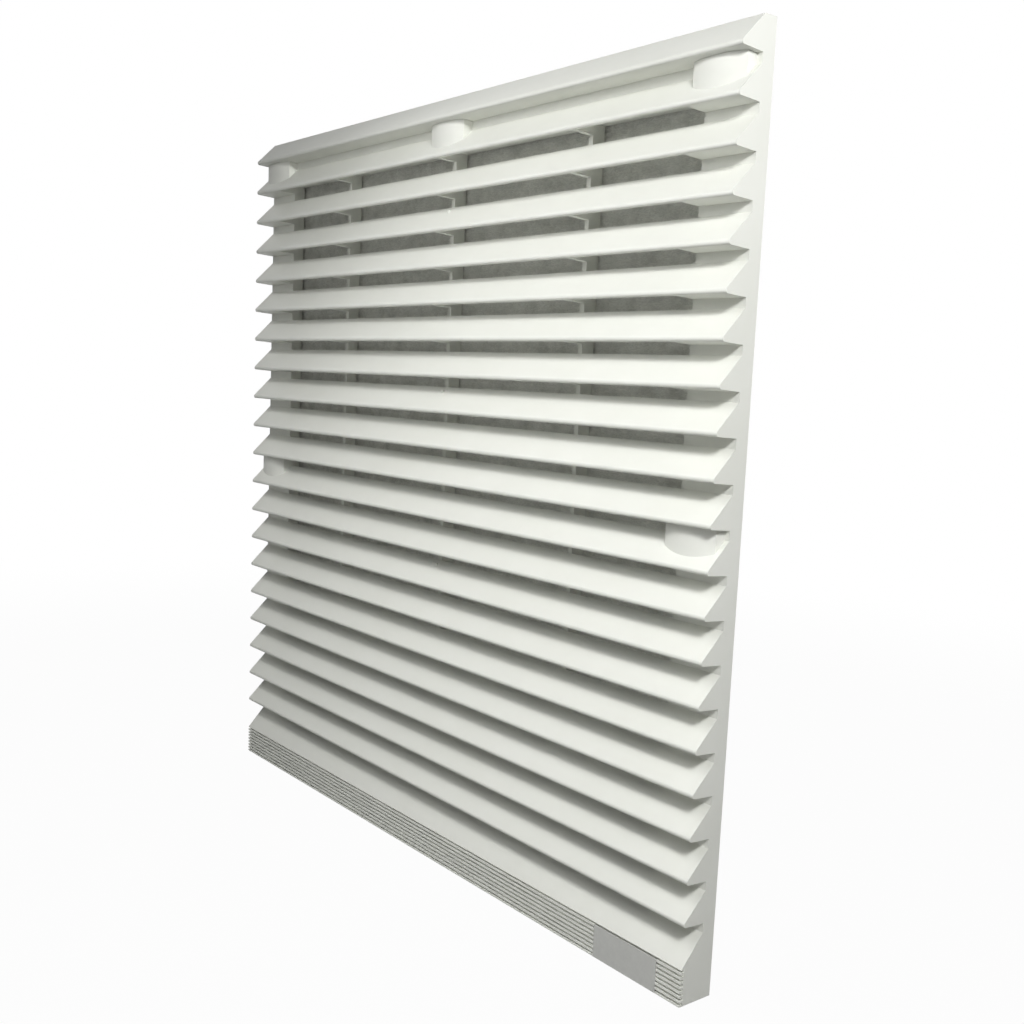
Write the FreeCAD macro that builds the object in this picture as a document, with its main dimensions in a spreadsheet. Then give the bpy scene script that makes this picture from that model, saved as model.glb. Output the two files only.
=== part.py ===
import FreeCAD, Part

import math
import os
import Sketcher


# A louvred filter grille for an enclosure wall: a moulded front cover, a bare name plate, a filter
# mat, a rear frame with a guard grid, a foam gasket and eight spring clips.
# Frame: X to the right as seen from the front, Y to the back, Z up. The origin is the middle of the
# mounting plane, which is the enclosure wall's outer face and the gasket's rear face.

SIZES = {
    # front cover
    "cover_width": 320.0,
    "cover_wall": 2.0,
    "louvre_pitch": 14.8,
    "louvre_gaps": 20,
    "tooth_depth": 9.5,
    "underside_drop": 0.6,
    "throat_height": 3.4,
    "tip_land": 1.4,
    "land_split": 1.0,
    "tip_radius": 0.9,
    "slat_thickness": 2.8,
    "underside_wall": 1.6,
    "band_height": 13.2,
    "skirt_wall": 2.0,
    "skirt_gap": 2.0,
    "rib_thickness": 2.2,
    "rib_spacing": 83.2,
    # half-round housings in the gaps, which take the frame's tongues
    "housing_half_width": 11.2,
    "housing_radius": 32.0,
    "housing_front": 3.1,
    "housing_wall": 1.7,
    "housing_inset": 13.2,
    "housing_sink": 0.7,
    "middle_row": 10,
    "socket_wall": 1.7,
    "socket_root": 1.9,
    # how far a cut starts outside the face that it opens
    "bite": 1.0,
    # grooved band and name plate
    "groove_count": 8,
    "groove_width": 0.8,
    "groove_depth": 1.4,
    "groove_lip": 0.2,
    "plate_width": 31.2,
    "plate_side": 11.6,
    "plate_thickness": 1.0,
    "plate_gap": 0.1,
    # moulding gate marks
    "mark_radius": 0.8,
    "mark_height": 0.5,
    "mark_root": 1.0,
    "mark_set_back": 7.5,
    "mark_step": 5,
    "mark_rows": 3,
    "mark_first": 3,
    # rear frame
    "flange_gap": 2.5,
    "flange_room": 1.0,
    "flange_thickness": 2.5,
    "flange_border": 11.5,
    "collar_wall": 2.5,
    "grid_cells": 9,
    "grid_bar": 2.2,
    "grid_thickness": 2.5,
    "tongue_width": 10.0,
    "tongue_height": 6.0,
    "tongue_length": 4.0,
    "tongue_gap": 0.5,
    "tongue_shift": 1.2,
    "low_tongue_set_in": 10.0,
    "screw_hole_radius": 2.25,
    "screw_set_in": 5.0,
    # filter mat, gasket and spring clips
    "mat_side_gap": 1.5,
    "mat_thickness": 9.2,
    "mat_gap": 0.2,
    "gasket_thickness": 2.0,
    "gasket_set_back": 0.5,
    "gasket_collar_gap": 2.0,
    "gasket_hole_radius": 3.0,
    "clip_width": 14.0,
    "clip_steel": 0.6,
    "clip_gap": 0.1,
    "clip_inner_leg": 7.0,
    "clip_reach": 4.5,
    "clip_nose_set_back": 3.5,
    "clip_return": 2.0,
    "clip_end_reach": 1.0,
    "clip_cell": 3,
}

doc = FreeCAD.newDocument("filter_grille")
sheet = doc.addObject("Spreadsheet::Sheet", "Sizes")
for row, (name, number) in enumerate(SIZES.items(), start=1):
    sheet.set(f"A{row}", name)
    sheet.set(f"B{row}", str(number))
    sheet.setAlias(f"B{row}", name)
doc.recompute()


class Size:
    """A number with the sheet formula that gives it, so that a sketch can start near its solution."""

    def __init__(self, number, text):
        self.number = float(number)
        self.text = text

    def __add__(self, other):
        other = as_size(other)
        return Size(self.number + other.number, f"({self.text} + {other.text})")

    def __sub__(self, other):
        other = as_size(other)
        return Size(self.number - other.number, f"({self.text} - {other.text})")

    def __mul__(self, other):
        other = as_size(other)
        return Size(self.number * other.number, f"({self.text} * {other.text})")

    def __truediv__(self, other):
        other = as_size(other)
        return Size(self.number / other.number, f"({self.text} / {other.text})")

    def __neg__(self):
        return Size(-self.number, f"(0 - {self.text})")


def as_size(value):
    if isinstance(value, Size):
        return value
    return Size(value, repr(value))


def size(name):
    return Size(sheet.get(name), f"Sizes.{name}")


def bind(feature, prop, value):
    """Sets a property to a size and keeps it tied to the sheet."""
    value = as_size(value)
    setattr(feature, prop, value.number)
    feature.setExpression(prop, value.text)


# Sketches, pads and pockets

def plane_of(body, role):
    return next(part for part in body.Origin.OriginFeatures if part.Role == role)


def add_body(label):
    body = doc.addObject("PartDesign::Body", label)
    body.Label = label
    return body


def add_sketch(body, name, role, offset=0.0):
    """An empty sketch on one of the body's own origin planes, moved along the plane's normal."""
    sketch = body.newObject("Sketcher::SketchObject", name)
    sketch.AttachmentSupport = [(plane_of(body, role), "")]
    sketch.MapMode = "FlatFace"
    offset = as_size(offset)
    sketch.AttachmentOffset.Base.z = offset.number
    sketch.setExpression("AttachmentOffset.Base.z", offset.text)
    return sketch


def tie_point(sketch, edge, end, across, up):
    """Fixes one end of an edge at a place given by two sizes."""
    for kind, place in (("DistanceX", across), ("DistanceY", up)):
        place = as_size(place)
        index = sketch.addConstraint(Sketcher.Constraint(kind, -1, 1, edge, end, place.number))
        sketch.setExpression(f"Constraints[{index}]", place.text)


def add_outline(sketch, corners):
    """A closed outline through corners (across, up) or (across, up, radius of the rounded corner)."""
    count = len(corners)
    spots = [FreeCAD.Vector(as_size(c[0]).number, as_size(c[1]).number, 0) for c in corners]
    starts = list(spots)
    ends = list(spots)
    for i, corner in enumerate(corners):
        if len(corner) == 3:
            before = (spots[i - 1] - spots[i]).normalize()
            after = (spots[(i + 1) % count] - spots[i]).normalize()
            reach = as_size(corner[2]).number / math.tan(before.getAngle(after) / 2)
            ends[i] = spots[i] + before * reach
            starts[i] = spots[i] + after * reach
    lines = []
    for i in range(count):
        line = Part.LineSegment(starts[i], ends[(i + 1) % count])
        lines.append(sketch.addGeometry(line, False))
    for i, corner in enumerate(corners):
        into = lines[i - 1]
        out = lines[i]
        if len(corner) == 3:
            round_corner(sketch, into, out, spots[i], ends[i], starts[i], corner)
        else:
            sketch.addConstraint(Sketcher.Constraint("Coincident", into, 2, out, 1))
            tie_point(sketch, out, 1, corner[0], corner[1])


def round_corner(sketch, into, out, spot, first, last, corner):
    """An arc between two lines, whose sharp corner stays at its own place. It runs anticlockwise."""
    radius = as_size(corner[2])
    side = (first + last) * 0.5 - spot
    middle = spot + side.normalize() * math.hypot((first - spot).Length, radius.number)
    nearest = middle + (spot - middle).normalize() * radius.number
    if (spot - first).cross(last - spot).z > 0:
        arc = Part.Arc(first, nearest, last)
        head, tail = 1, 2
    else:
        arc = Part.Arc(last, nearest, first)
        head, tail = 2, 1
    edge = sketch.addGeometry(arc, False)
    sketch.addConstraint(Sketcher.Constraint("Tangent", into, 2, edge, head))
    sketch.addConstraint(Sketcher.Constraint("Tangent", edge, tail, out, 1))
    index = sketch.addConstraint(Sketcher.Constraint("Radius", edge, radius.number))
    sketch.setExpression(f"Constraints[{index}]", radius.text)
    point = sketch.addGeometry(Part.Point(spot), True)
    tie_point(sketch, point, 1, corner[0], corner[1])
    sketch.addConstraint(Sketcher.Constraint("PointOnObject", point, 1, into))
    sketch.addConstraint(Sketcher.Constraint("PointOnObject", point, 1, out))


def add_rectangle(sketch, left, low, right, high, radius=None):
    corners = [(left, low), (right, low), (right, high), (left, high)]
    if radius is not None:
        corners = [corner + (radius,) for corner in corners]
    add_outline(sketch, corners)


def add_inset_rectangle(sketch, inset):
    """A rectangle that lies inside the cover's outline by the same distance all round."""
    add_rectangle(sketch, inset - half_width, inset - half_height,
                  half_width - inset, half_height - inset)


def add_circle(sketch, across, up, radius):
    across = as_size(across)
    up = as_size(up)
    radius = as_size(radius)
    centre = FreeCAD.Vector(across.number, up.number, 0)
    edge = sketch.addGeometry(Part.Circle(centre, FreeCAD.Vector(0, 0, 1), radius.number), False)
    tie_point(sketch, edge, 3, across, up)
    index = sketch.addConstraint(Sketcher.Constraint("Radius", edge, radius.number))
    sketch.setExpression(f"Constraints[{index}]", radius.text)


def extrude(body, kind, name, sketch, length, both_sides=False, against=False):
    """A pad or a pocket along the sketch's normal, or against it."""
    feature = body.newObject(f"PartDesign::{kind}", name)
    feature.Profile = sketch
    bind(feature, "Length", length)
    if both_sides:
        feature.SideType = "Symmetric"
    feature.Reversed = against
    sketch.Visibility = False
    feature.Refine = False
    return feature


def row_downwards(body, name, sketch, count, step):
    """A row going down the cover's front, one step from each copy to the next."""
    pattern = body.newObject("PartDesign::LinearPattern", name)
    pattern.Direction = (sketch, ["V_Axis"])
    pattern.Reversed = True
    pattern.Refine = False
    pattern.Mode = "Spacing"
    bind(pattern, "Offset", step)
    pattern.Occurrences = int(count.number)
    pattern.setExpression("Occurrences", count.text)
    return pattern


# Places that the pieces share

cover_wall = size("cover_wall")
pitch = size("louvre_pitch")
gaps = size("louvre_gaps")
tooth_depth = size("tooth_depth")
tip_land = size("tip_land")
slat = size("slat_thickness")
half_width = size("cover_width") / 2
slope_top = pitch - size("underside_drop") - size("throat_height")
slope_rise = slope_top - tip_land
half_height = (slope_top + gaps * pitch + size("band_height")) / 2
first_tip = half_height - slope_top
band_top = first_tip - gaps * pitch

# depths, from the enclosure wall to the slats' tips and to the grid
rim_y = -size("gasket_thickness")
flange_front_y = rim_y - size("flange_thickness")
room_y = flange_front_y - size("flange_room")
throat_y = room_y - cover_wall
tip_y = throat_y - tooth_depth
cover_depth = rim_y - tip_y
mat_front_y = rim_y + size("mat_gap")
grid_front_y = mat_front_y + size("mat_thickness") + size("mat_gap")
grid_back_y = grid_front_y + size("grid_thickness")

# how far each outline lies inside the cover's own outline, all round
flange_inset = cover_wall + size("flange_gap")
collar_inset = flange_inset + size("flange_border")
collar_room_inset = collar_inset + size("collar_wall")
skirt_inset = collar_room_inset + size("skirt_gap")
window_inset = skirt_inset + size("skirt_wall")
mat_inset = collar_room_inset + size("mat_side_gap")
gasket_outer_inset = flange_inset + size("gasket_set_back")
gasket_inner_inset = collar_inset - size("gasket_collar_gap")
screw_inset = flange_inset + size("screw_set_in")
window_x = half_width - window_inset
window_z = half_height - window_inset
collar_room_x = half_width - collar_room_inset
collar_room_z = half_height - collar_room_inset
step_across = (collar_room_x * 2 + size("grid_bar")) / size("grid_cells")
step_up = (collar_room_z * 2 + size("grid_bar")) / size("grid_cells")

# housings, tongues and the band's grooves
housing_x = half_width - size("housing_inset")
middle_tip = first_tip - size("middle_row") * pitch
tongue_x = housing_x + size("tongue_shift")
tongue_half = size("tongue_width") / 2
tongue_half_height = size("tongue_height") / 2
housing_mid = -size("underside_drop") - size("tongue_gap") - tongue_half_height
groove_pitch = size("band_height") / size("groove_count")
groove_top = band_top - size("groove_lip")
second_groove_top = groove_top - groove_pitch
plate_right = half_width - size("plate_side")
plate_left = plate_right - size("plate_width")
plate_top = groove_top - size("groove_width")


def slat_back(tip, y):
    """The height of a slat's rear face at a depth, above the slat's own tip height."""
    return tip + tip_land + (y - tip_y - slat) * slope_rise / tooth_depth


# Front cover: the block, hollowed from behind

def cover_block(body):
    sketch = add_sketch(body, "cover_outline", "XZ_Plane", -rim_y)
    add_inset_rectangle(sketch, as_size(0))
    extrude(body, "Pad", "cover_solid", sketch, cover_depth)


def cover_border(body):
    """The room behind the border wall, and the hollow inside each slat's end."""
    inner_x = half_width - cover_wall
    inner_z = half_height - cover_wall
    skirt_low = skirt_inset - half_height
    clear = size("bite")
    room = add_sketch(body, "border_room_outline", "XZ_Plane", -rim_y)
    add_inset_rectangle(room, cover_wall)
    extrude(body, "Pocket", "border_room", room, rim_y - room_y, against=True)

    ends = add_sketch(body, "top_and_band_room_outline", "YZ_Plane")
    add_outline(ends, [
        (tip_y + slat, first_tip + tip_land),
        (room_y + clear, first_tip + tip_land),
        (room_y + clear, inner_z),
        (tip_y + slat + (inner_z - first_tip - tip_land) * tooth_depth / slope_rise, inner_z),
    ])
    add_outline(ends, [
        (tip_y + slat, -inner_z),
        (room_y + clear, -inner_z),
        (room_y + clear, skirt_low),
        (tip_y + slat + (skirt_low - band_top) * tooth_depth / slope_rise, skirt_low),
        (tip_y + slat, band_top),
    ])
    extrude(body, "Pocket", "top_and_band_room", ends, inner_x * 2, both_sides=True)

    wall = size("underside_wall")
    second_tip = first_tip - pitch
    tooth = add_sketch(body, "tooth_room_outline", "YZ_Plane")
    add_outline(tooth, [
        (tip_y + slat + (wall - tip_land) * tooth_depth / slope_rise, second_tip + wall),
        (room_y + clear, second_tip + wall),
        (room_y + clear, slat_back(second_tip, room_y + clear)),
    ])
    first = extrude(body, "Pocket", "tooth_room", tooth, inner_x * 2, both_sides=True)
    row = row_downwards(body, "tooth_rooms", tooth, gaps - 1, pitch)
    row.Originals = [first]
    body.Tip = row

    ring = add_sketch(body, "skirt_outline", "XZ_Plane", -rim_y)
    add_inset_rectangle(ring, skirt_inset)
    add_inset_rectangle(ring, window_inset)
    extrude(body, "Pad", "skirt", ring, cover_depth - slat / 2)


# Front cover: the window with its blades and ribs

def cover_window(body):
    """The window opens the border wall from behind, and each slat in it is thinned to a blade."""
    opening = add_sketch(body, "window_outline", "XZ_Plane", -rim_y)
    add_inset_rectangle(opening, window_inset)
    extrude(body, "Pocket", "window", opening, rim_y - throat_y, against=True)

    clear = size("bite")
    slats_above = 1 + math.floor((first_tip - window_z).number / pitch.number)
    edge_tip = first_tip - pitch * slats_above
    full_tip = edge_tip - pitch
    top = add_sketch(body, "top_blade_outline", "YZ_Plane")
    add_outline(top, [
        (tip_y + slat + (-clear - tip_land) * tooth_depth / slope_rise, edge_tip - clear),
        (throat_y + clear, edge_tip - clear),
        (throat_y + clear, window_z),
        (tip_y + slat + (window_z - edge_tip - tip_land) * tooth_depth / slope_rise, window_z),
    ])
    extrude(body, "Pocket", "top_blade", top, window_x * 2, both_sides=True)

    blade = add_sketch(body, "blade_outline", "YZ_Plane")
    add_outline(blade, [
        (tip_y + slat + (-clear - tip_land) * tooth_depth / slope_rise, full_tip - clear),
        (throat_y + clear, full_tip - clear),
        (throat_y + clear, slat_back(full_tip, throat_y + clear)),
    ])
    first = extrude(body, "Pocket", "blade", blade, window_x * 2, both_sides=True)
    row = row_downwards(body, "blades", blade, gaps - 1 - slats_above, pitch)
    row.Originals = [first]
    body.Tip = row

    half_rib = size("rib_thickness") / 2
    ribs = add_sketch(body, "rib_outline", "XZ_Plane", -rim_y)
    for middle in (-size("rib_spacing"), as_size(0), size("rib_spacing")):
        add_rectangle(ribs, middle - half_rib, -window_z, middle + half_rib, window_z)
    extrude(body, "Pad", "ribs", ribs, cover_depth - slat / 2)


# Front cover: the sawtooth front, cut through slats, skirt and ribs together

def cover_sawtooth(body):
    """The slope above the first slat, and the gap under each slat down to the next slat's slope."""
    clear = size("bite")
    split = size("land_split")
    ends = add_sketch(body, "top_and_band_slope_outline", "YZ_Plane")
    add_outline(ends, [
        (tip_y - clear, first_tip + split),
        (tip_y, first_tip + split),
        (tip_y, first_tip + tip_land, size("tip_radius")),
        (throat_y, half_height),
        (throat_y, half_height + clear),
        (tip_y - clear, half_height + clear),
    ])
    add_outline(ends, [
        (tip_y - clear, band_top),
        (tip_y, band_top),
        (throat_y, band_top + slope_top),
        (tip_y - clear, band_top + slope_top),
    ])
    extrude(body, "Pocket", "top_and_band_slope", ends, size("cover_width"), both_sides=True)

    next_tip = first_tip - pitch
    ceiling = first_tip - size("underside_drop")
    gap = add_sketch(body, "gap_outline", "YZ_Plane")
    add_outline(gap, [
        (tip_y - clear, first_tip + split),
        (tip_y, first_tip + split),
        (tip_y, first_tip, size("tip_radius")),
        (throat_y, ceiling),
        (throat_y, ceiling - size("throat_height")),
        (tip_y, next_tip + tip_land, size("tip_radius")),
        (tip_y, next_tip + split),
        (tip_y - clear, next_tip + split),
    ])
    first = extrude(body, "Pocket", "gap", gap, size("cover_width"), both_sides=True)
    row = row_downwards(body, "gaps", gap, gaps, pitch)
    row.Originals = [first]
    body.Tip = row


# Front cover: the grooved band with the plate's recess

def cover_band(body):
    depth = size("groove_depth")
    height = size("groove_width")
    gap = size("plate_gap")
    top = add_sketch(body, "top_groove_outline", "XZ_Plane", -tip_y)
    add_rectangle(top, -half_width, groove_top - height, half_width, groove_top)
    extrude(body, "Pocket", "top_groove", top, depth)

    low = add_sketch(body, "groove_outline", "XZ_Plane", -tip_y)
    low_edge = second_groove_top - height
    add_rectangle(low, -half_width, low_edge, plate_left - gap, second_groove_top)
    add_rectangle(low, plate_right + gap, low_edge, half_width, second_groove_top)
    cut = extrude(body, "Pocket", "groove", low, depth)
    row = row_downwards(body, "grooves", low, size("groove_count") - 1, groove_pitch)
    row.Originals = [cut]
    body.Tip = row

    recess = add_sketch(body, "plate_recess_outline", "XZ_Plane", -tip_y)
    add_rectangle(recess, plate_left - gap, -half_height, plate_right + gap, plate_top)
    extrude(body, "Pocket", "plate_recess", recess, size("plate_thickness"))


# Front cover: the housings that take the frame's tongues

def housing_outline(sketch, middle, inset):
    """A half-round front seen from above, with short flanks running to the back."""
    half = (size("housing_half_width") - inset).number
    front = (tip_y + size("housing_front") + inset).number
    radius = (size("housing_radius") - inset).number
    shoulder = front + radius - math.sqrt(radius ** 2 - half ** 2)
    back = room_y.number
    left = FreeCAD.Vector(middle.number - half, shoulder, 0)
    right = FreeCAD.Vector(middle.number + half, shoulder, 0)
    crown = FreeCAD.Vector(middle.number, front, 0)
    left_back = FreeCAD.Vector(middle.number - half, back, 0)
    right_back = FreeCAD.Vector(middle.number + half, back, 0)
    bow = sketch.addGeometry(Part.Arc(left, crown, right), False)
    right_flank = sketch.addGeometry(Part.LineSegment(right, right_back), False)
    rear = sketch.addGeometry(Part.LineSegment(right_back, left_back), False)
    left_flank = sketch.addGeometry(Part.LineSegment(left_back, left), False)
    bow_left, bow_right = (1, 2) if sketch.Geometry[bow].StartPoint.x < middle.number else (2, 1)
    sketch.addConstraint(Sketcher.Constraint("Coincident", bow, bow_right, right_flank, 1))
    sketch.addConstraint(Sketcher.Constraint("Coincident", right_flank, 2, rear, 1))
    sketch.addConstraint(Sketcher.Constraint("Coincident", rear, 2, left_flank, 1))
    sketch.addConstraint(Sketcher.Constraint("Coincident", left_flank, 2, bow, bow_left))
    sketch.addConstraint(Sketcher.Constraint("Vertical", right_flank))
    sketch.addConstraint(Sketcher.Constraint("Vertical", left_flank))
    tie_point(sketch, bow, 3, middle, tip_y + size("housing_front") + size("housing_radius"))
    index = sketch.addConstraint(Sketcher.Constraint("Radius", bow, radius))
    sketch.setExpression(f"Constraints[{index}]", (size("housing_radius") - inset).text)
    tie_point(sketch, rear, 2, middle - (size("housing_half_width") - inset), room_y)
    width = sketch.addConstraint(Sketcher.Constraint("DistanceX", rear, 2, rear, 1, 2 * half))
    sketch.setExpression(f"Constraints[{width}]", ((size("housing_half_width") - inset) * 2).text)


def housing_rows():
    """The tip above each row of housings, and the middles of that row's housings."""
    return [
        ("top", first_tip, [-housing_x, as_size(0), housing_x]),
        ("middle", middle_tip, [-housing_x, housing_x]),
    ]


def cut_housing_rooms(body):
    """The rooms that the tongues go into, open to the back."""
    tall = size("tongue_height") + size("tongue_gap") * 2
    for name, tip, places in housing_rows():
        room = add_sketch(body, f"{name}_room_outline", "XY_Plane", tip - size("underside_drop"))
        for place in places:
            housing_outline(room, place, size("housing_wall"))
        extrude(body, "Pocket", f"{name}_rooms", room, tall)


def add_housing_shells():
    """The half-round shells that close these rooms to the front, under the slats."""
    body = add_body("housing_shells")
    body.AllowCompound = True
    foot = size("housing_front") * slope_rise / tooth_depth - size("housing_sink")
    height = pitch - tip_land - foot
    for name, tip, places in housing_rows():
        low = tip - height
        block = add_sketch(body, f"{name}_housing_outline", "XY_Plane", low)
        for place in places:
            housing_outline(block, place, as_size(0))
        extrude(body, "Pad", f"{name}_housings", block, height - size("underside_drop") / 2)
    cut_housing_rooms(body)
    return body


# Front cover: the way in for the tongues from behind, and the sockets low in the band

def tongue_places():
    """The middles of the eight tongues: three high, two half way up and three low."""
    high = first_tip + housing_mid
    half_way = middle_tip + housing_mid
    low = flange_inset + size("low_tongue_set_in") - half_height
    zero = as_size(0)
    return [
        (-tongue_x, high), (zero, high), (tongue_x, high),
        (-tongue_x, half_way), (tongue_x, half_way),
        (-tongue_x, low), (zero, low), (tongue_x, low),
    ]


def cover_tongue_ways(body):
    """The low sockets run forward from the border wall into the back of the band's slope."""
    gap = size("tongue_gap")
    across = tongue_half + gap
    up = tongue_half_height + gap
    way = add_sketch(body, "tongue_way_outline", "XZ_Plane", -rim_y)
    for x, z in tongue_places()[:5]:
        add_rectangle(way, x - across, z - up, x + across, z + up)
    extrude(body, "Pocket", "tongue_ways", way, rim_y - throat_y, against=True)

    wall = size("socket_wall")
    socket = add_sketch(body, "socket_outline", "XZ_Plane", -room_y)
    for x, z in tongue_places()[5:]:
        add_rectangle(socket, x - across - wall, z - up - wall, x + across + wall, z + up + wall)
        add_rectangle(socket, x - across, z - up, x + across, z + up)
    top = tongue_places()[5][1] + up + wall
    slope_y = tip_y + slat + (top - band_top) * tooth_depth / slope_rise
    extrude(body, "Pad", "sockets", socket, room_y - slope_y + size("socket_root"))


# Front cover: the small gate marks on three slopes

def add_gate_marks():
    body = add_body("gate_marks")
    body.AllowCompound = True
    place = first_tip - size("mark_first") * pitch + tip_land
    height = place + size("mark_set_back") * slope_rise / tooth_depth
    front = tip_y + size("mark_set_back") - size("mark_height")
    mark = add_sketch(body, "mark_outline", "XZ_Plane", -front)
    add_circle(mark, 0, height, size("mark_radius"))
    peg = size("mark_height") + size("mark_root")
    first = extrude(body, "Pad", "mark", mark, peg, against=True)
    row = row_downwards(body, "marks", mark, size("mark_rows"), size("mark_step") * pitch)
    row.Originals = [first]
    body.Tip = row
    return body


def build_cover():
    shell = add_body("cover_shell")
    cover_block(shell)
    cover_band(shell)
    cover_border(shell)
    cut_housing_rooms(shell)
    cover_tongue_ways(shell)
    cover_window(shell)
    cover_sawtooth(shell)
    cover = doc.addObject("Part::MultiFuse", "louvre_cover")
    cover.Label = "louvre_cover"
    cover.Shapes = [shell, add_housing_shells(), add_gate_marks()]
    cover.Refine = True
    return cover


# Name plate: a bare plate let into the band

def build_name_plate():
    body = add_body("name_plate")
    outline = add_sketch(body, "plate_outline", "XZ_Plane", -tip_y)
    add_rectangle(outline, plate_left, -half_height, plate_right, plate_top - size("plate_gap"))
    extrude(body, "Pad", "plate", outline, size("plate_thickness"), against=True)
    return body


# Rear frame: flange, collar, guard grid and tongues

def screw_places():
    """The four corners where screws may go through the flange and the gasket."""
    x = half_width - screw_inset
    z = half_height - screw_inset
    return [(-x, -z), (-x, z), (x, -z), (x, z)]


def build_frame():
    body = add_body("base_frame")
    flange = add_sketch(body, "flange_outline", "XZ_Plane", -rim_y)
    add_inset_rectangle(flange, flange_inset)
    add_inset_rectangle(flange, collar_room_inset)
    extrude(body, "Pad", "flange", flange, size("flange_thickness"))

    collar = add_sketch(body, "collar_outline", "XZ_Plane", -rim_y)
    add_inset_rectangle(collar, collar_inset)
    add_inset_rectangle(collar, collar_room_inset)
    extrude(body, "Pad", "collar", collar, grid_back_y - rim_y, against=True)

    plate = add_sketch(body, "grid_outline", "XZ_Plane", -grid_back_y)
    add_inset_rectangle(plate, collar_inset)
    extrude(body, "Pad", "grid_plate", plate, size("grid_thickness"))

    cell = add_sketch(body, "cell_row_outline", "XZ_Plane", -grid_back_y)
    low = collar_room_z - step_up + size("grid_bar")
    for column in range(int(size("grid_cells").number)):
        left = step_across * column - collar_room_x
        right = left + step_across - size("grid_bar")
        add_rectangle(cell, left, low, right, collar_room_z)
    first = extrude(body, "Pocket", "cell_row", cell, size("grid_thickness"), against=True)
    row = row_downwards(body, "cells", cell, size("grid_cells"), step_up)
    row.Originals = [first]
    body.Tip = row

    tongues = add_sketch(body, "tongue_outline", "XZ_Plane", -flange_front_y)
    for x, z in tongue_places():
        add_rectangle(tongues, x - tongue_half, z - tongue_half_height,
                      x + tongue_half, z + tongue_half_height)
    extrude(body, "Pad", "tongues", tongues, size("tongue_length"))

    holes = add_sketch(body, "screw_hole_outline", "XZ_Plane", -flange_front_y)
    for x, z in screw_places():
        add_circle(holes, x, z, size("screw_hole_radius"))
    last = extrude(body, "Pocket", "screw_holes", holes, size("flange_thickness"))
    last.Refine = True
    return body


# Filter mat and foam gasket

def build_mat():
    body = add_body("filter_mat")
    outline = add_sketch(body, "mat_outline", "XZ_Plane", -mat_front_y)
    add_inset_rectangle(outline, mat_inset)
    extrude(body, "Pad", "mat", outline, size("mat_thickness"), against=True)
    return body


def build_gasket():
    body = add_body("foam_gasket")
    outline = add_sketch(body, "gasket_outline", "XZ_Plane", 0)
    add_inset_rectangle(outline, gasket_outer_inset)
    add_inset_rectangle(outline, gasket_inner_inset)
    for x, z in screw_places():
        add_circle(outline, x, z, size("gasket_hole_radius"))
    extrude(body, "Pad", "gasket", outline, size("gasket_thickness"))
    return body


# Spring clips: bent strips over the collar's rear rim, two on each side

def build_clip(number, turn, across, up):
    """A clip drawn for the right side about the collar's outer face, then turned about Y."""
    body = add_body(f"spring_clip_{number}")
    steel = size("clip_steel")
    gap = size("clip_gap")
    inner = -size("collar_wall") - gap
    rim = grid_back_y + gap
    nose_x = size("clip_reach")
    nose_y = size("clip_nose_set_back")
    end_x = size("clip_end_reach")
    end_y = nose_y - size("clip_return")
    strip = add_sketch(body, f"clip_outline_{number}", "XY_Plane")
    add_outline(strip, [
        (inner - steel, rim - size("clip_inner_leg")),
        (inner, rim - size("clip_inner_leg")),
        (inner, rim),
        (gap, rim),
        (nose_x - steel, nose_y),
        (end_x - steel, end_y),
        (end_x, end_y - steel),
        (nose_x, nose_y - steel / 2),
        (gap + steel, rim + steel),
        (inner - steel, rim + steel),
    ])
    extrude(body, "Pad", f"clip_strip_{number}", strip, size("clip_width"), both_sides=True)
    body.Placement.Rotation = FreeCAD.Rotation(FreeCAD.Vector(0, 1, 0), turn)
    body.setExpression("Placement.Base.x", across.text)
    body.setExpression("Placement.Base.z", up.text)
    return body


def clip_rows():
    """Each clip's turn and place: in the middle of one of the grid's cells, two on each side."""
    side_x = half_width - collar_inset
    side_z = half_height - collar_inset
    cells_in = size("clip_cell") - 0.5
    along_x = collar_room_x - step_across * cells_in + size("grid_bar") / 2
    along_z = collar_room_z - step_up * cells_in + size("grid_bar") / 2
    return [
        (0, side_x, along_z), (0, side_x, -along_z),
        (90, along_x, -side_z), (90, -along_x, -side_z),
        (180, -side_x, -along_z), (180, -side_x, along_z),
        (270, -along_x, side_z), (270, along_x, side_z),
    ]


parts = [build_cover(), build_name_plate(), build_frame(), build_mat(), build_gasket()]
for number, (turn, across, up) in enumerate(clip_rows(), start=1):
    parts.append(build_clip(number, turn, across, up))

doc.recompute()

for item in doc.Objects:
    if "Invalid" in item.State or "Error" in item.State:
        raise RuntimeError(f"{item.Name} failed: {item.State}")
for part in parts:
    if part.Shape.isNull() or not part.Shape.isValid():
        raise RuntimeError(f"{part.Label} has no valid shape")

os.makedirs("parts", exist_ok=True)
for part in parts:
    part.Shape.exportStep(f"parts/{part.Label}.step")
    print(part.Label, round(part.Shape.Volume), len(part.Shape.Solids), len(part.Shape.Faces))
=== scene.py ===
import math

import bpy
from mathutils import Matrix, Vector


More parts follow.
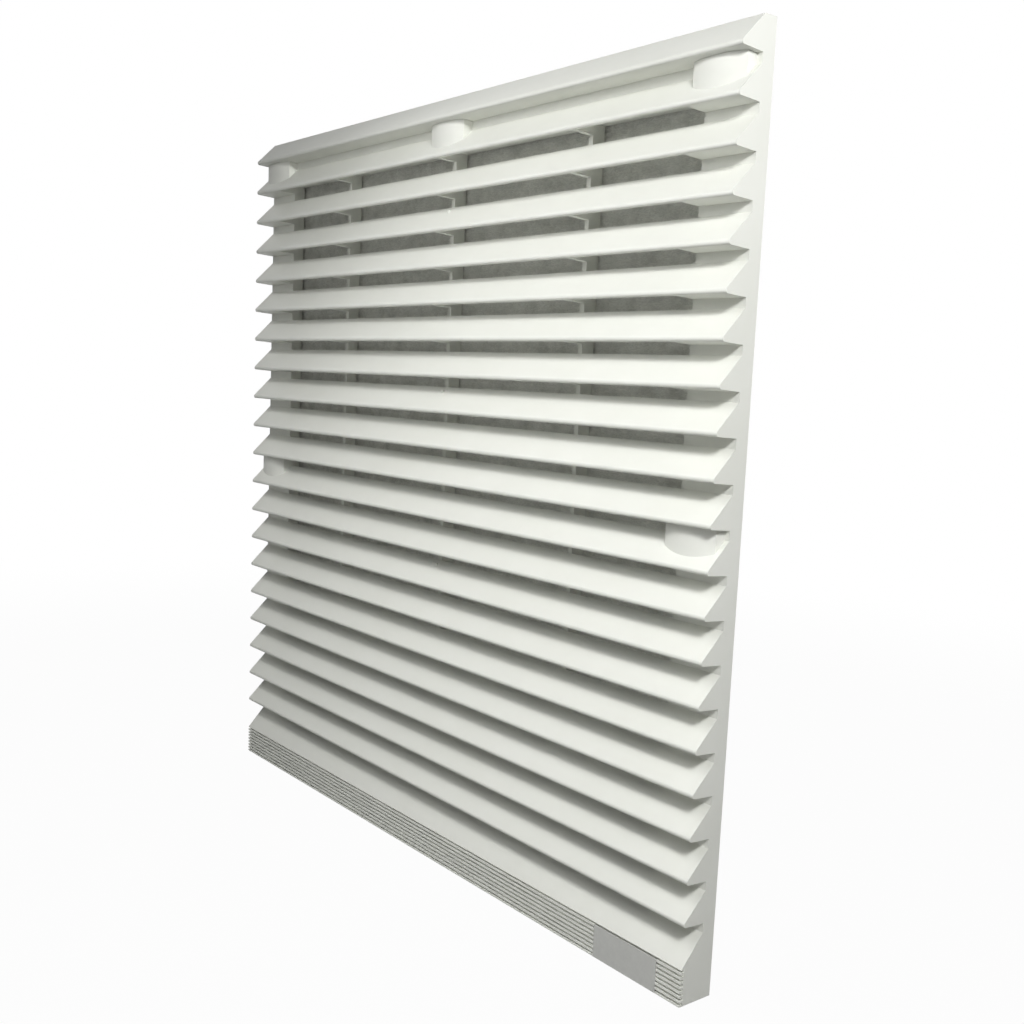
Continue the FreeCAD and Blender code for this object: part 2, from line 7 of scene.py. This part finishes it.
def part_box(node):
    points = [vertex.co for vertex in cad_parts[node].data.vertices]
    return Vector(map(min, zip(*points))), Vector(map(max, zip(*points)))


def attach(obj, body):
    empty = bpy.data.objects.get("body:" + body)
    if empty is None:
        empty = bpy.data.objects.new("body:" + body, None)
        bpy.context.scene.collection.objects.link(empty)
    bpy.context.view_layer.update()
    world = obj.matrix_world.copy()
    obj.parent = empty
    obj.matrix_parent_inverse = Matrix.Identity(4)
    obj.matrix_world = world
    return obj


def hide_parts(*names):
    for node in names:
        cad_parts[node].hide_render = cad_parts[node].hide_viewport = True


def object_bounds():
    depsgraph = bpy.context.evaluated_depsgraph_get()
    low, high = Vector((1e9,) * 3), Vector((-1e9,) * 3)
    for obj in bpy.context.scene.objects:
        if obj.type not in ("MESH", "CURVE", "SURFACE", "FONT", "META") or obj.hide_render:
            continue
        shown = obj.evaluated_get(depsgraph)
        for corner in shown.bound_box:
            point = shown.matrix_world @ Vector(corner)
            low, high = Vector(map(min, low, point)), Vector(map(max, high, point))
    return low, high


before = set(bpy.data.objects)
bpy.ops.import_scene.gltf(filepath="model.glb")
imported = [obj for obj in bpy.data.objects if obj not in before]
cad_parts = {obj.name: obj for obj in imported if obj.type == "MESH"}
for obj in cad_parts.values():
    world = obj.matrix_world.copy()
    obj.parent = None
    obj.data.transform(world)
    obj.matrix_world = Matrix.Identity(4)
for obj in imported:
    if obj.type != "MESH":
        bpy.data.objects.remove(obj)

bpy.ops.object.select_all(action="DESELECT")
cad_box = [list(corner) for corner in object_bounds()]


# Front cover: one light grey moulding with 21 slopes, a grooved band at the foot and half-round
# housings under two of its slats. It is injection moulded in filled plastic with a fine matt spark
# finish, and it pushes onto the frame behind.

mm_per_metre = 1000.0
cover_pale = (0.80, 0.81, 0.758, 1.0)
cover_deep = (0.775, 0.785, 0.728, 1.0)


def new_material(name):
    material = bpy.data.materials.new(name)
    material.use_nodes = True
    return material, material.node_tree.nodes, material.node_tree.links


def pattern_on_piece(nodes, links, kind, squeeze=(1.0, 1.0, 1.0), **settings):
    """A texture in the piece's own millimetres, stretched along an axis whose squeeze is under 1."""
    place = nodes.new("ShaderNodeTexCoord")
    to_mm = nodes.new("ShaderNodeMapping")
    to_mm.inputs["Scale"].default_value = [mm_per_metre * share for share in squeeze]
    links.new(place.outputs["Object"], to_mm.inputs["Vector"])
    texture = nodes.new(kind)
    for name, value in settings.items():
        texture.inputs[name].default_value = value
    links.new(to_mm.outputs["Vector"], texture.inputs["Vector"])
    return texture


def ramp(nodes, links, source, stops):
    """A colour ramp over a pattern, from stops of a position and a colour."""
    band = nodes.new("ShaderNodeValToRGB")
    band.color_ramp.elements[0].position = stops[0][0]
    band.color_ramp.elements[0].color = stops[0][1]
    band.color_ramp.elements[1].position = stops[-1][0]
    band.color_ramp.elements[1].color = stops[-1][1]
    for position, colour in stops[1:-1]:
        element = band.color_ramp.elements.new(position)
        element.color = colour
    links.new(source, band.inputs["Fac"])
    return band


def add_relief(nodes, links, height, strength, depth_mm):
    """Fine relief that follows a pattern's height."""
    relief = nodes.new("ShaderNodeBump")
    relief.inputs["Strength"].default_value = strength
    relief.inputs["Distance"].default_value = depth_mm / mm_per_metre
    links.new(height, relief.inputs["Height"])
    links.new(relief.outputs["Normal"], nodes["Principled BSDF"].inputs["Normal"])


def moulded_plastic(name, pale, deep, grain_mm, rough, depth_mm):
    """Moulded plastic with cloudy colour, a spark-finished grain and slightly uneven gloss."""
    rough_play = 0.05
    material, nodes, links = new_material(name)
    shader = nodes["Principled BSDF"]
    shader.inputs["IOR"].default_value = 1.5
    shader.inputs["Specular IOR Level"].default_value = 0.25
    clouds = pattern_on_piece(nodes, links, "ShaderNodeTexNoise",
                              Scale=0.035, Detail=4.0, Roughness=0.6)
    tint = ramp(nodes, links, clouds.outputs["Fac"], [(0.3, deep), (0.7, pale)])
    links.new(tint.outputs["Color"], shader.inputs["Base Color"])
    gloss = pattern_on_piece(nodes, links, "ShaderNodeTexNoise", Scale=0.12, Detail=3.0)
    gloss_span = nodes.new("ShaderNodeMapRange")
    gloss_span.inputs["From Min"].default_value = 0.3
    gloss_span.inputs["From Max"].default_value = 0.7
    gloss_span.inputs["To Min"].default_value = rough - rough_play
    gloss_span.inputs["To Max"].default_value = rough + rough_play
    links.new(gloss.outputs["Fac"], gloss_span.inputs["Value"])
    links.new(gloss_span.outputs["Result"], shader.inputs["Roughness"])
    grain = pattern_on_piece(nodes, links, "ShaderNodeTexNoise", Scale=1.0 / grain_mm, Detail=3.0)
    add_relief(nodes, links, grain.outputs["Fac"], strength=0.5, depth_mm=depth_mm)
    return material


def give_material(node, material):
    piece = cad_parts[node]
    for slot in piece.material_slots:
        slot.material = material


give_material("louvre_cover", moulded_plastic(
    "cover_plastic", cover_pale, cover_deep, grain_mm=0.45, rough=0.48, depth_mm=0.03))


# Name plate: a bare grey strip of thin plastic sheet with a satin face. It is let into the grooved
# band at the cover's lower right and glued there.

plate_pale = (0.57, 0.575, 0.545, 1.0)
plate_deep = (0.52, 0.525, 0.50, 1.0)


def satin_sheet(name):
    """Plastic sheet with a faint haze in its colour and the fine waviness of a rolled face."""
    material, nodes, links = new_material(name)
    shader = nodes["Principled BSDF"]
    shader.inputs["Roughness"].default_value = 0.42
    haze = pattern_on_piece(nodes, links, "ShaderNodeTexNoise",
                            Scale=0.5, Detail=5.0, Roughness=0.7)
    tint = ramp(nodes, links, haze.outputs["Fac"], [(0.3, plate_deep), (0.7, plate_pale)])
    links.new(tint.outputs["Color"], shader.inputs["Base Color"])
    waves = pattern_on_piece(nodes, links, "ShaderNodeTexNoise", Scale=3.0, Detail=2.0)
    add_relief(nodes, links, waves.outputs["Fac"], strength=0.3, depth_mm=0.02)
    return material


give_material("name_plate", satin_sheet("plate_grey"))


# Rear frame: the flange, collar and guard grid in one moulding of the same plastic as the cover,
# a shade greyer and with a rougher finish, because it is out of sight in use.

rear_pale = (0.66, 0.67, 0.63, 1.0)
rear_deep = (0.62, 0.63, 0.59, 1.0)
give_material("base_frame", moulded_plastic(
    "frame_plastic", rear_pale, rear_deep, grain_mm=0.8, rough=0.58, depth_mm=0.06))


# Filter mat: a soft slab of bonded synthetic fibres, cut square and laid into the frame between the
# guard grid and the cover. Its faces are felted and slightly uneven.

mat_low, mat_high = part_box("filter_mat")
mat_middle = [(low + high) / 2 for low, high in zip(mat_low, mat_high)]
mat_size = [high - low for low, high in zip(mat_low, mat_high)]
felt_play = 0.0009
felt_lift = 1.8 * felt_play
felt_lump = 0.009
felt_cuts = 79
sharp_edge = math.radians(40)
felt_dark = (0.70, 0.70, 0.66, 1.0)
felt_middle = (0.83, 0.83, 0.79, 1.0)
felt_light = (0.92, 0.92, 0.88, 1.0)
strand_dark = (0.86, 0.86, 0.86, 1.0)
strand_light = (1.05, 1.05, 1.05, 1.0)

bpy.ops.mesh.primitive_cube_add(size=1.0, location=mat_middle)
mat = bpy.context.object
mat.name = "felted_mat"
mat.scale = (mat_size[0], mat_size[1] - 2 * felt_play, mat_size[2])
bpy.ops.object.transform_apply(location=True, rotation=True, scale=True)
bpy.ops.object.mode_set(mode="EDIT")
bpy.ops.mesh.select_all(action="SELECT")
bpy.ops.mesh.subdivide(number_cuts=felt_cuts)
bpy.ops.object.mode_set(mode="OBJECT")
felt_texture = bpy.data.textures.new("felt_clouds", "CLOUDS")
felt_texture.noise_scale = felt_lump
felt_texture.noise_depth = 3
puff = mat.modifiers.new("puff", "DISPLACE")
puff.texture = felt_texture
puff.texture_coords = "LOCAL"
puff.direction = "Y"
puff.strength = felt_lift
puff.mid_level = 0.5
bpy.ops.object.modifier_apply(modifier="puff")
bpy.ops.object.shade_smooth_by_angle(angle=sharp_edge)


def felt(name):
    """Felted fibres: fine strands that run across, over soft blotches."""
    material, nodes, links = new_material(name)
    shader = nodes["Principled BSDF"]
    shader.inputs["Roughness"].default_value = 0.95
    shader.inputs["Specular IOR Level"].default_value = 0.2
    blotch = pattern_on_piece(nodes, links, "ShaderNodeTexNoise", squeeze=(0.7, 1.0, 1.0),
                              Scale=0.2, Detail=5.0, Roughness=0.62)
    tint = ramp(nodes, links, blotch.outputs["Fac"],
                [(0.32, felt_dark), (0.50, felt_middle), (0.68, felt_light)])
    strands = pattern_on_piece(nodes, links, "ShaderNodeTexNoise", squeeze=(0.3, 1.0, 1.2),
                               Scale=1.5, Detail=5.0, Distortion=1.5)
    streak = ramp(nodes, links, strands.outputs["Fac"],
                  [(0.35, strand_dark), (0.65, strand_light)])
    shade = nodes.new("ShaderNodeMix")
    shade.data_type = "RGBA"
    shade.blend_type = "MULTIPLY"
    shade.inputs["Factor"].default_value = 1.0
    links.new(tint.outputs["Color"], shade.inputs["A"])
    links.new(streak.outputs["Color"], shade.inputs["B"])
    links.new(shade.outputs["Result"], shader.inputs["Base Color"])
    add_relief(nodes, links, strands.outputs["Fac"], strength=0.8, depth_mm=0.6)
    return material


mat.data.materials.append(felt("mat_fibre"))
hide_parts("filter_mat")
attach(mat, "frame")
bpy.ops.object.select_all(action="DESELECT")


# Foam gasket: a black closed-cell foam strip glued to the flange's rear, pressed against the wall.
# Its skin is matt with fine burst cells.

# The deeper black is painted shade at the bottoms of the cell pits; the paler one is the foam's own
# black.
foam_painted_pit_shade = (0.012, 0.012, 0.013, 1.0)
foam_pale = (0.035, 0.035, 0.036, 1.0)


def closed_cell_foam(name):
    """Black foam with burst cells as small pits, each darkened towards its bottom with painted shade.
    """
    material, nodes, links = new_material(name)
    shader = nodes["Principled BSDF"]
    shader.inputs["Roughness"].default_value = 0.9
    cells = pattern_on_piece(nodes, links, "ShaderNodeTexVoronoi", Scale=2.2)
    # Painted shade: the foam's colour darkens towards each cell's middle, where the relief sinks into a
    # pit.
    tint = ramp(nodes, links, cells.outputs["Distance"], [(0.0, foam_painted_pit_shade), (0.7, foam_pale)])
    links.new(tint.outputs["Color"], shader.inputs["Base Color"])
    add_relief(nodes, links, cells.outputs["Distance"], strength=0.7, depth_mm=0.2)
    return material


give_material("foam_gasket", closed_cell_foam("gasket_foam"))


# Spring clips: bent strips of spring steel pushed over the collar's rear rim, two on each side.
# Rolled steel with fine lines along the strip and a dull sheen.

steel_deep = (0.40, 0.41, 0.42, 1.0)
steel_pale = (0.56, 0.57, 0.58, 1.0)
clip_count = 8


def rolled_steel(name):
    """Bare steel whose rolling lines vary its colour and its gloss."""
    material, nodes, links = new_material(name)
    shader = nodes["Principled BSDF"]
    shader.inputs["Metallic"].default_value = 1.0
    lines = pattern_on_piece(nodes, links, "ShaderNodeTexNoise", squeeze=(1.0, 0.15, 1.0),
                             Scale=2.4, Detail=4.0)
    tint = ramp(nodes, links, lines.outputs["Fac"], [(0.3, steel_deep), (0.7, steel_pale)])
    links.new(tint.outputs["Color"], shader.inputs["Base Color"])
    gloss = nodes.new("ShaderNodeMapRange")
    gloss.inputs["To Min"].default_value = 0.28
    gloss.inputs["To Max"].default_value = 0.48
    links.new(lines.outputs["Fac"], gloss.inputs["Value"])
    links.new(gloss.outputs["Result"], shader.inputs["Roughness"])
    return material


clip_steel = rolled_steel("clip_steel")
for number in range(1, clip_count + 1):
    give_material(f"spring_clip_{number}", clip_steel)


# Stage: a plain floor that shows as white, fades into a white surround and keeps a faint shadow. Soft
# lamps stand at the upper right in front, over the front's middle, low in front, beside the right-hand
# wall and, wide and far, behind to the left.

plain_white = (1.0, 1.0, 1.0, 1.0)
floor_grey = (0.3, 0.3, 0.3, 1.0)
floor_side = 12.0
floor_z = cad_box[0][2]
shadow_share = 0.03
fade_from = 0.40
fade_to = 0.85
surround_light = 0.05


def shown_white(nodes, links):
    """1 for rays that show the white stage itself: seen directly, mirrored or through glass."""
    path = nodes.new("ShaderNodeLightPath")
    seen_or_mirrored = nodes.new("ShaderNodeMath")
    seen_or_mirrored.operation = "MAXIMUM"
    links.new(path.outputs["Is Camera Ray"], seen_or_mirrored.inputs[0])
    links.new(path.outputs["Is Glossy Ray"], seen_or_mirrored.inputs[1])
    any_of_three = nodes.new("ShaderNodeMath")
    any_of_three.operation = "MAXIMUM"
    links.new(seen_or_mirrored.outputs["Value"], any_of_three.inputs[0])
    links.new(path.outputs["Is Transmission Ray"], any_of_three.inputs[1])
    return any_of_three.outputs["Value"]


def white_floor(name):
    """Shows as white with a faint shadow near the grille; the grey under it throws little light up."""
    material, nodes, links = new_material(name)
    matt = nodes["Principled BSDF"]
    matt.inputs["Base Color"].default_value = floor_grey
    matt.inputs["Roughness"].default_value = 1.0
    matt.inputs["Specular IOR Level"].default_value = 0.0
    white = nodes.new("ShaderNodeEmission")
    white.inputs["Color"].default_value = plain_white
    place = nodes.new("ShaderNodeTexCoord")
    distance = nodes.new("ShaderNodeVectorMath")
    distance.operation = "LENGTH"
    links.new(place.outputs["Object"], distance.inputs[0])
    fade = nodes.new("ShaderNodeMapRange")
    fade.interpolation_type = "SMOOTHSTEP"
    fade.inputs["From Min"].default_value = fade_from
    fade.inputs["From Max"].default_value = fade_to
    fade.inputs["To Min"].default_value = 1.0 - shadow_share
    fade.inputs["To Max"].default_value = 1.0
    links.new(distance.outputs["Value"], fade.inputs["Value"])
    share = nodes.new("ShaderNodeMath")
    share.operation = "MULTIPLY"
    links.new(shown_white(nodes, links), share.inputs[0])
    links.new(fade.outputs["Result"], share.inputs[1])
    blend = nodes.new("ShaderNodeMixShader")
    links.new(share.outputs["Value"], blend.inputs["Fac"])
    links.new(matt.outputs["BSDF"], blend.inputs[1])
    links.new(white.outputs["Emission"], blend.inputs[2])
    links.new(blend.outputs["Shader"], nodes["Material Output"].inputs["Surface"])
    return material


bpy.ops.mesh.primitive_plane_add(size=floor_side, location=(0.0, 0.0, floor_z))
floor = bpy.context.object
floor.name = "floor"
floor.data.materials.append(white_floor("white_floor"))

world = bpy.data.worlds.new("surround")
bpy.context.scene.world = world
world.use_nodes = True
sky_nodes = world.node_tree.nodes
sky_links = world.node_tree.links
sky = sky_nodes["Background"]
sky.inputs["Color"].default_value = plain_white
level = sky_nodes.new("ShaderNodeMapRange")
level.inputs["To Min"].default_value = surround_light
level.inputs["To Max"].default_value = 1.0
sky_links.new(shown_white(sky_nodes, sky_links), level.inputs["Value"])
sky_links.new(level.outputs["Result"], sky.inputs["Strength"])


def soft_lamp(name, place, aim, side, watts):
    bpy.ops.object.light_add(type="AREA", location=place)
    lamp = bpy.context.object
    lamp.name = name
    lamp.data.shape = "SQUARE"
    lamp.data.size = side
    lamp.data.energy = watts
    lamp.visible_camera = False
    lamp.rotation_euler = (Vector(aim) - Vector(place)).to_track_quat("-Z", "Y").to_euler()


soft_lamp("upper_right", place=(0.474, -0.248, 0.268), aim=(-0.6, 0.0, -0.9), side=0.08, watts=2.06)
soft_lamp("over_front", place=(0.046, -0.237, 0.170), aim=(0.147, 0.0, -0.843), side=0.24, watts=0.60)
soft_lamp("low_front", place=(0.150, -0.650, -0.200), aim=(0.0, 0.0, 0.0), side=0.30, watts=0.50)
soft_lamp("beside", place=(0.341, 0.107, 0.200), aim=(0.16, 0.0, 0.15), side=0.06, watts=0.17)
soft_lamp("behind_left", place=(-0.7, 1.3, 0.7), aim=(0.0, 0.0, 0.0), side=0.8, watts=14.0)


# Camera: an ordinary lens half a metre from the grille's middle, in front and to the right of it, which
# looks to the left and slightly down across the slats.

picture_px = 1024.0
focal_px = 1185.69
middle_px = (498.20, 533.10)
sensor_mm = 36.0
nearest = 0.01
camera_place = (0.411563, -0.300854, 0.045637)
to_right = (0.614129, 0.788050, 0.042687)
to_above = (-0.127253, 0.045497, 0.990826)
to_back = (0.778879, -0.613928, 0.128222)

bpy.ops.object.camera_add(location=camera_place)
camera = bpy.context.object
camera.data.sensor_width = sensor_mm
camera.data.lens = focal_px / picture_px * sensor_mm
camera.data.shift_x = (picture_px / 2 - middle_px[0]) / picture_px
camera.data.shift_y = (middle_px[1] - picture_px / 2) / picture_px
camera.data.clip_start = nearest
camera.rotation_euler = Matrix((to_right, to_above, to_back)).transposed().to_euler()
bpy.context.scene.camera = camera

view = bpy.context.scene.view_settings
view.view_transform = "Standard"

bpy.ops.object.select_all(action="DESELECT")
